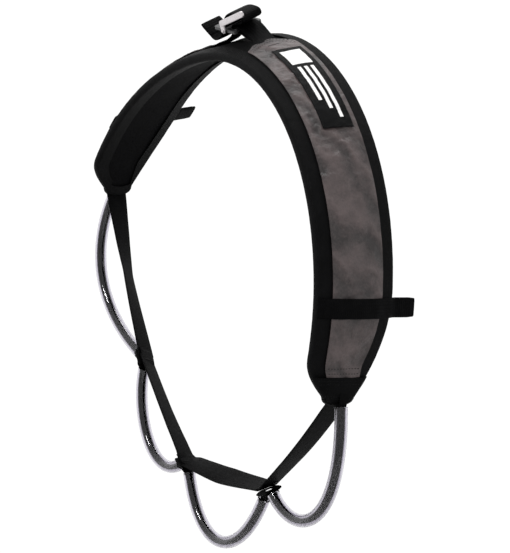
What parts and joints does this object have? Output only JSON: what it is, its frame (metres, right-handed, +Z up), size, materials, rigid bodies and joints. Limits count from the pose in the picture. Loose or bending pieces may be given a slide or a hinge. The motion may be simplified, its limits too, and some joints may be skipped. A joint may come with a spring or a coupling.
{
  "type": "padded gear sling",
  "caption": "Padded shoulder sling for climbing gear: foam pad with bound edges, webbing strap with a ladder buckle, and hanging loops of clear tube.",
  "frame": {"origin": "middle of the lining where it rests on the top of the shoulder", "axes": "+X to the wearer's front, along the arch's top; +Y across the pad to the neck; +Z up"},
  "size_m": [0.5062, 0.1072, 0.545],
  "materials": {
    "foam": "soft closed-cell foam",
    "lining": "fine knit",
    "cover": "black nylon pack cloth",
    "binding": "black woven edge tape",
    "panel": "grey-brown crinkled nylon with a slight sheen",
    "webbing": "black woven nylon webbing",
    "label_ground": "black woven label",
    "label_white": "white woven thread",
    "thread": "bonded nylon thread",
    "buckle_black": "black, satin",
    "buckle_bright": "satin, rounded edges",
    "clear_tube": "clear soft vinyl tube"
  },
  "bodies": {
    "shoulder_band": {"pad_foam": "foam", "pad_lining": "lining", "pad_cover": "cover", "binding_neck_side": "binding", "binding_arm_side": "binding", "panel_front": "panel", "panel_back": "panel", "tip_patch_front": "cover", "tip_patch_back": "cover", "label_base": "label_ground", "label_motif": "label_white", "keeper_front": "webbing", "keeper_back": "webbing", "strap_front": "webbing", "strap_middle": "webbing", "strap_back": "webbing", "junction_webbing": "webbing", "bar_tacks": "thread"},
    "buckle": {"buckle_frame": "buckle_black", "buckle_anchor_pin": "buckle_bright", "buckle_locking_bar": "buckle_bright", "buckle_lever": "buckle_bright", "strap_wrap": "webbing"},
    "strap_end": {"strap_tail": "webbing", "tail_stop": "webbing"},
    "gear_loop_1": {"gear_tube_1": "clear_tube", "loop_webbing_1": "webbing"},
    "gear_loop_2": {"gear_tube_2": "clear_tube", "loop_webbing_2": "webbing"},
    "gear_loop_3": {"gear_tube_3": "clear_tube", "loop_webbing_3": "webbing"},
    "gear_loop_4": {"gear_tube_4": "clear_tube", "loop_webbing_4": "webbing"},
    "front_tab": {"keeper_tab_front": "webbing"},
    "back_tab": {"keeper_tab_back": "webbing"}
  },
  "joints": [
    {"name": "buckle_lift", "type": "hinge", "parent": "shoulder_band", "child": "buckle", "pos_m": [0.024, -0.00731, 0.02391], "axis": [0, 0.9063, 0.4226], "range_deg": [0, 35]},
    {"name": "tail_pull", "type": "slide", "parent": "buckle", "child": "strap_end", "axis": [-0.6, -0.3381, 0.725], "range_m": [0, 0.04], "deforming": ["strap_tail", "strap_wrap"]},
    {"name": "gear_loop_1_swing", "type": "hinge", "parent": "shoulder_band", "child": "gear_loop_1", "pos_m": [0.1805, -0.00158, -0.3433], "axis": [-0.7779, 0.0006, -0.6284], "range_deg": [-35, 35]},
    {"name": "gear_loop_2_swing", "type": "hinge", "parent": "shoulder_band", "child": "gear_loop_2", "pos_m": [0.04809, -0.00149, -0.44119], "axis": [-0.996, 0, 0.0898], "range_deg": [-35, 35]},
    {"name": "gear_loop_3_swing", "type": "hinge", "parent": "shoulder_band", "child": "gear_loop_3", "pos_m": [-0.11153, -0.00149, -0.41988], "axis": [-0.6338, 0.0001, 0.7735], "range_deg": [-35, 35]},
    {"name": "gear_loop_4_swing", "type": "hinge", "parent": "shoulder_band", "child": "gear_loop_4", "pos_m": [-0.1992, -0.0015, -0.30833], "axis": [-0.334, -0.0027, 0.9426], "range_deg": [-35, 35]},
    {"name": "front_tab_flap", "type": "hinge", "parent": "shoulder_band", "child": "front_tab", "pos_m": [0.20237, 0.04251, -0.25077], "axis": [-0.1097, 0, -0.994], "range_deg": [-40, 40], "stiffness_Nm_per_rad": 0.02},
    {"name": "back_tab_flap", "type": "hinge", "parent": "shoulder_band", "child": "back_tab", "pos_m": [-0.19569, 0.0417, -0.04927], "axis": [0.785, 0, 0.6195], "range_deg": [-40, 40], "stiffness_Nm_per_rad": 0.02}
  ]
}
